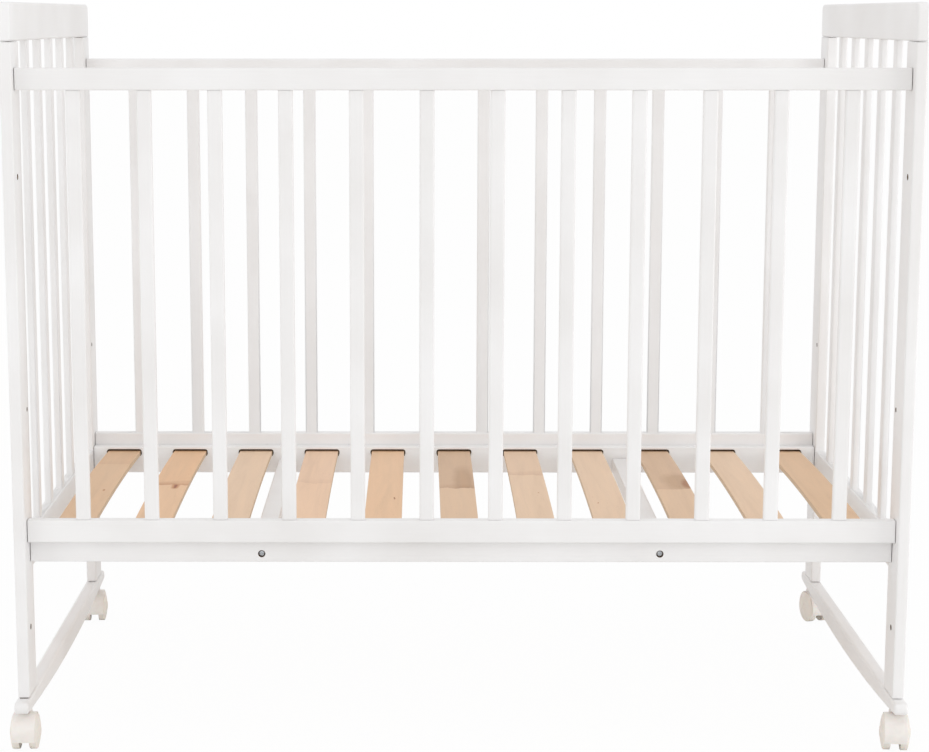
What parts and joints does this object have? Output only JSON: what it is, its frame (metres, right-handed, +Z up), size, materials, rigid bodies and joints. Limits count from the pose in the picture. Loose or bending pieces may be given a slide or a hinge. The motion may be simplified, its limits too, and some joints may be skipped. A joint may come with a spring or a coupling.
{
  "type": "crib",
  "caption": "White slatted wooden crib with a lowering front side, slatted bed base, rocker feet and swivel twin-wheel casters.",
  "frame": {"origin": "on the floor under the centre of the crib", "axes": "X along the crib from its left end to its right end seen from the front, Y from the lowering front side to the back, Z up from the floor"},
  "size_m": [1.2717, 0.7296, 1.036],
  "materials": {
    "painted_white": "satin white lacquer",
    "birch": "clear lacquered birch plywood",
    "hood_nylon": "moulded nylon",
    "wheel_nylon": "moulded nylon",
    "pin_steel": "zinc-plated steel"
  },
  "bodies": {
    "frame": {"left_front_post": "painted_white", "left_back_post": "painted_white", "left_cap_rail": "painted_white", "left_end_slatted_rail": "painted_white", "left_rocker": "painted_white", "right_front_post": "painted_white", "right_back_post": "painted_white", "right_cap_rail": "painted_white", "right_end_slatted_rail": "painted_white", "right_rocker": "painted_white", "back_panel_top_rail": "painted_white", "back_panel_slatted_rail": "painted_white", "base_front_rail": "painted_white", "base_back_rail": "painted_white", "base_left_beam": "painted_white", "base_right_beam": "painted_white", "bed_slat_1": "birch", "bed_slat_2": "birch", "bed_slat_3": "birch", "bed_slat_4": "birch", "bed_slat_5": "birch", "bed_slat_6": "birch", "bed_slat_7": "birch", "bed_slat_8": "birch", "bed_slat_9": "birch", "bed_slat_10": "birch", "bed_slat_11": "birch"},
    "drop_side": {"drop_side_top_rail": "painted_white", "drop_side_bottom_rail": "painted_white", "drop_side_slat_1": "painted_white", "drop_side_slat_2": "painted_white", "drop_side_slat_3": "painted_white", "drop_side_slat_4": "painted_white", "drop_side_slat_5": "painted_white", "drop_side_slat_6": "painted_white", "drop_side_slat_7": "painted_white", "drop_side_slat_8": "painted_white", "drop_side_slat_9": "painted_white", "drop_side_slat_10": "painted_white", "drop_side_slat_11": "painted_white", "drop_side_slat_12": "painted_white"},
    "upper_left_pin": {"upper_left_lock_pin": "pin_steel"},
    "lower_left_pin": {"lower_left_lock_pin": "pin_steel"},
    "upper_right_pin": {"upper_right_lock_pin": "pin_steel"},
    "lower_right_pin": {"lower_right_lock_pin": "pin_steel"},
    "front_left_caster": {"front_left_caster_hood": "hood_nylon"},
    "front_left_left_wheel": {"front_left_caster_left_wheel": "wheel_nylon"},
    "front_left_right_wheel": {"front_left_caster_right_wheel": "wheel_nylon"},
    "front_right_caster": {"front_right_caster_hood": "hood_nylon"},
    "front_right_left_wheel": {"front_right_caster_left_wheel": "wheel_nylon"},
    "front_right_right_wheel": {"front_right_caster_right_wheel": "wheel_nylon"},
    "back_left_caster": {"back_left_caster_hood": "hood_nylon"},
    "back_left_left_wheel": {"back_left_caster_left_wheel": "wheel_nylon"},
    "back_left_right_wheel": {"back_left_caster_right_wheel": "wheel_nylon"},
    "back_right_caster": {"back_right_caster_hood": "hood_nylon"},
    "back_right_left_wheel": {"back_right_caster_left_wheel": "wheel_nylon"},
    "back_right_right_wheel": {"back_right_caster_right_wheel": "wheel_nylon"}
  },
  "joints": [
    {"name": "drop_side_slide", "type": "slide", "parent": "frame", "child": "drop_side", "axis": [0, 0, 1], "range_m": [-0.135, 0]},
    {"name": "upper_left_pin_slide", "type": "slide", "parent": "drop_side", "child": "upper_left_pin", "axis": [-1, 0, 0], "range_m": [0, 0.0115]},
    {"name": "lower_left_pin_slide", "type": "slide", "parent": "drop_side", "child": "lower_left_pin", "axis": [-1, 0, 0], "range_m": [0, 0.0115]},
    {"name": "upper_right_pin_slide", "type": "slide", "parent": "drop_side", "child": "upper_right_pin", "axis": [1, 0, 0], "range_m": [0, 0.0115]},
    {"name": "lower_right_pin_slide", "type": "slide", "parent": "drop_side", "child": "lower_right_pin", "axis": [1, 0, 0], "range_m": [0, 0.0115]},
    {"name": "front_left_swivel", "type": "hinge", "parent": "frame", "child": "front_left_caster", "pos_m": [-0.612, -0.322, 0.06], "axis": [0, 0, 1], "continuous": true},
    {"name": "front_left_left_wheel_spin", "type": "hinge", "parent": "front_left_caster", "child": "front_left_left_wheel", "pos_m": [-0.61148, -0.33699, 0.025], "axis": [0.9994, 0.0349, 0], "continuous": true},
    {"name": "front_left_right_wheel_spin", "type": "hinge", "parent": "front_left_caster", "child": "front_left_right_wheel", "pos_m": [-0.61148, -0.33699, 0.025], "axis": [0.9994, 0.0349, 0], "continuous": true},
    {"name": "front_right_swivel", "type": "hinge", "parent": "frame", "child": "front_right_caster", "pos_m": [0.612, -0.322, 0.06], "axis": [0, 0, 1], "continuous": true},
    {"name": "front_right_left_wheel_spin", "type": "hinge", "parent": "front_right_caster", "child": "front_right_left_wheel", "pos_m": [0.60991, -0.33685, 0.025], "axis": [0.9903, -0.1392, 0], "continuous": true},
    {"name": "front_right_right_wheel_spin", "type": "hinge", "parent": "front_right_caster", "child": "front_right_right_wheel", "pos_m": [0.60991, -0.33685, 0.025], "axis": [0.9903, -0.1392, 0], "continuous": true},
    {"name": "back_left_swivel", "type": "hinge", "parent": "frame", "child": "back_left_caster", "pos_m": [-0.612, 0.322, 0.06], "axis": [0, 0, 1], "continuous": true},
    {"name": "back_left_left_wheel_spin", "type": "hinge", "parent": "back_left_caster", "child": "back_left_left_wheel", "pos_m": [-0.61095, 0.30704, 0.025], "axis": [0.9976, 0.0698, 0], "continuous": true},
    {"name": "back_left_right_wheel_spin", "type": "hinge", "parent": "back_left_caster", "child": "back_left_right_wheel", "pos_m": [-0.61095, 0.30704, 0.025], "axis": [0.9976, 0.0698, 0], "continuous": true},
    {"name": "back_right_swivel", "type": "hinge", "parent": "frame", "child": "back_right_caster", "pos_m": [0.612, 0.322, 0.06], "axis": [0, 0, 1], "continuous": true},
    {"name": "back_right_left_wheel_spin", "type": "hinge", "parent": "back_right_caster", "child": "back_right_left_wheel", "pos_m": [0.61588, 0.30751, 0.025], "axis": [0.9659, 0.2588, 0], "continuous": true},
    {"name": "back_right_right_wheel_spin", "type": "hinge", "parent": "back_right_caster", "child": "back_right_right_wheel", "pos_m": [0.61588, 0.30751, 0.025], "axis": [0.9659, 0.2588, 0], "continuous": true}
  ]
}
